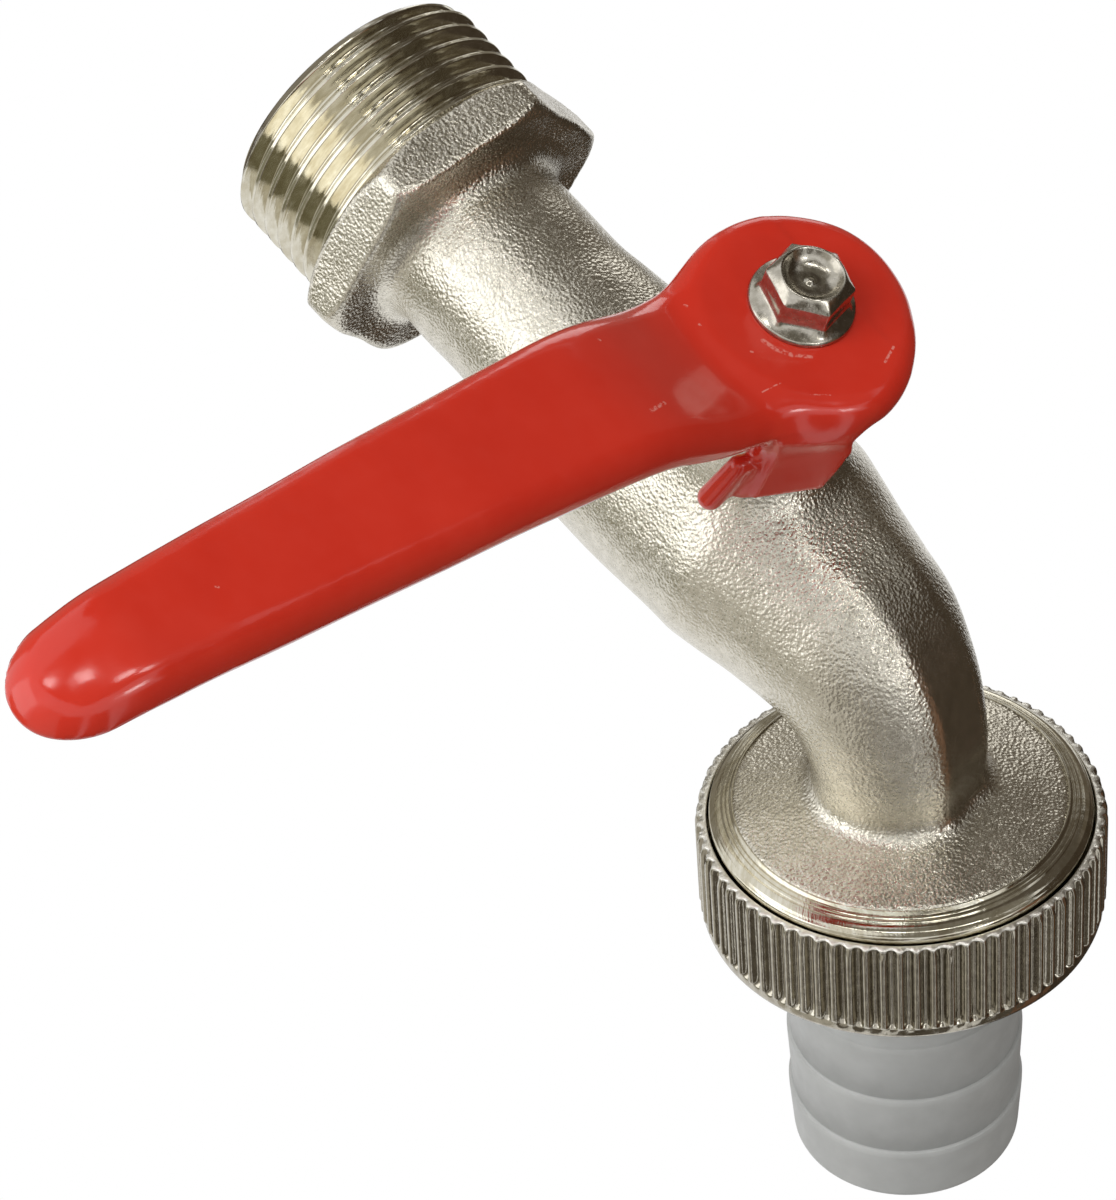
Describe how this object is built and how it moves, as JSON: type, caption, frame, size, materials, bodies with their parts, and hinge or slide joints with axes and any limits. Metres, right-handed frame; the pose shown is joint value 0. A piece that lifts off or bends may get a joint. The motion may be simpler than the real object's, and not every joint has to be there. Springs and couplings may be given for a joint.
{
  "type": "hose tap",
  "caption": "Wall-mounted hose tap: forged elbow body with a quarter-turn ball valve, dipped lever handle and knurled union nut holding a barbed hose tail.",
  "frame": {"origin": "centre of the inlet end face", "axes": "+X along the inlet axis away from the wall, +Z along the valve stem towards the lever, the outlet leans down and forward in the X-Z plane"},
  "size_m": [0.1028, 0.0984, 0.0959],
  "materials": {
    "plated_body": "nickel plated over a blasted forging, thread and rim turned bright",
    "bare_brass": "turned",
    "seat_polymer": "smooth fluoropolymer",
    "polished_ball": "polished plating",
    "black_rubber": "moulded",
    "red_dip": "glossy dipped coat over a metal lever",
    "zinc_bolt": "bright zinc plate",
    "plated_nut": "nickel plated, knurled",
    "grey_tail": "moulded, satin"
  },
  "bodies": {
    "body": {"tap_body": "plated_body", "seat_retainer": "bare_brass", "seat_inlet": "seat_polymer", "seat_outlet": "seat_polymer", "thrust_washer": "seat_polymer", "stem_packing": "seat_polymer", "gland_nut": "bare_brass"},
    "lever": {"lever_handle": "red_dip", "lever_bolt": "zinc_bolt", "stem": "bare_brass", "stem_o_ring": "black_rubber", "ball": "polished_ball"},
    "union": {"hose_tail": "grey_tail", "outlet_gasket": "black_rubber"},
    "nut": {"coupling_nut": "plated_nut"}
  },
  "joints": [
    {"name": "lever_turn", "type": "hinge", "parent": "body", "child": "lever", "pos_m": [0.0505, 0, 0.027], "axis": [0, 0, 1], "range_deg": [0, 90]},
    {"name": "union_slide", "type": "slide", "parent": "body", "child": "union", "axis": [0.3827, 0, -0.9239], "range_m": [0, 0.00462]},
    {"name": "nut_turn", "type": "hinge", "parent": "union", "child": "nut", "pos_m": [0.0737, 0, 0], "axis": [0.3827, 0, -0.9239], "range_deg": [0, 720]}
  ],
  "couplings": [
    {"joint": "union_slide", "follows": "nut_turn", "m_per_rad": 0.0003675}
  ]
}
